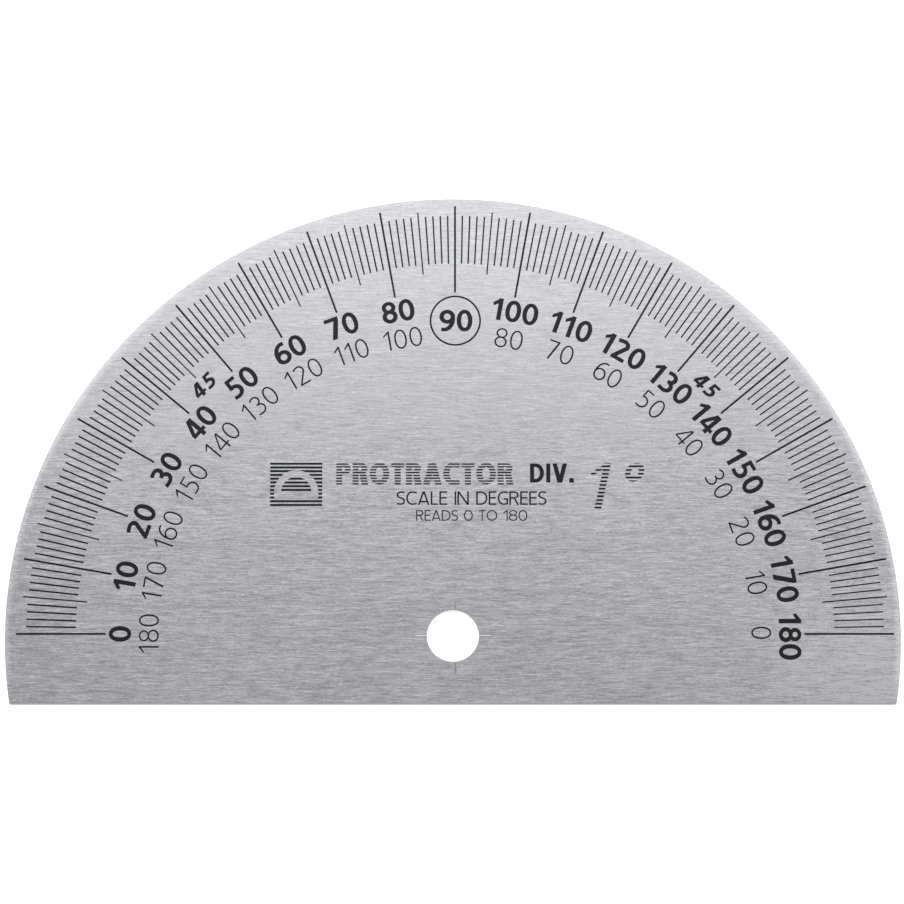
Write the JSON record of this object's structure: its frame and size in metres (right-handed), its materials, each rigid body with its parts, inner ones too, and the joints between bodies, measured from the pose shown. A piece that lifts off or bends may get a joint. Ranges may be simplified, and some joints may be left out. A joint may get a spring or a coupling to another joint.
{
  "type": "protractor",
  "caption": "Half-round brushed steel protractor plate with a straight datum edge, a centre hole and an enamel-filled 180 degree scale numbered in both directions.",
  "frame": {"origin": "middle of the bounding box on the plate's underside, which the plate lies on. The blank's arc and the hole are centred 19.05 mm towards -Y of it, at (0, -0.01905), and the scale's vertex is at (0.00022, -0.01887)", "axes": "+Z out of the reading face; +X along the straight datum edge, towards the end where the outer numerals reach 180; -Y out of the datum edge, so the arc is towards +Y"},
  "size_m": [0.09, 0.0518, 0.001],
  "materials": {
    "stainless_plate": "brushed along the datum edge, satin",
    "black_enamel": "baked black enamel in etched recesses, slightly below the face"
  },
  "bodies": {
    "root": {"plate": "stainless_plate", "line_ten_000": "black_enamel", "line_ten_010": "black_enamel", "line_ten_020": "black_enamel", "line_ten_030": "black_enamel", "line_ten_040": "black_enamel", "line_ten_050": "black_enamel", "line_ten_060": "black_enamel", "line_ten_070": "black_enamel", "line_ten_080": "black_enamel", "line_ten_090": "black_enamel", "line_ten_100": "black_enamel", "line_ten_110": "black_enamel", "line_ten_120": "black_enamel", "line_ten_130": "black_enamel", "line_ten_140": "black_enamel", "line_ten_150": "black_enamel", "line_ten_160": "black_enamel", "line_ten_170": "black_enamel", "line_ten_180": "black_enamel", "line_five_005": "black_enamel", "line_five_015": "black_enamel", "line_five_025": "black_enamel", "line_five_035": "black_enamel", "line_five_045": "black_enamel", "line_five_055": "black_enamel", "line_five_065": "black_enamel", "line_five_075": "black_enamel", "line_five_085": "black_enamel", "line_five_095": "black_enamel", "line_five_105": "black_enamel", "line_five_115": "black_enamel", "line_five_125": "black_enamel", "line_five_135": "black_enamel", "line_five_145": "black_enamel", "line_five_155": "black_enamel", "line_five_165": "black_enamel", "line_five_175": "black_enamel", "ring_ninety": "black_enamel"}
  },
  "joints": []
}
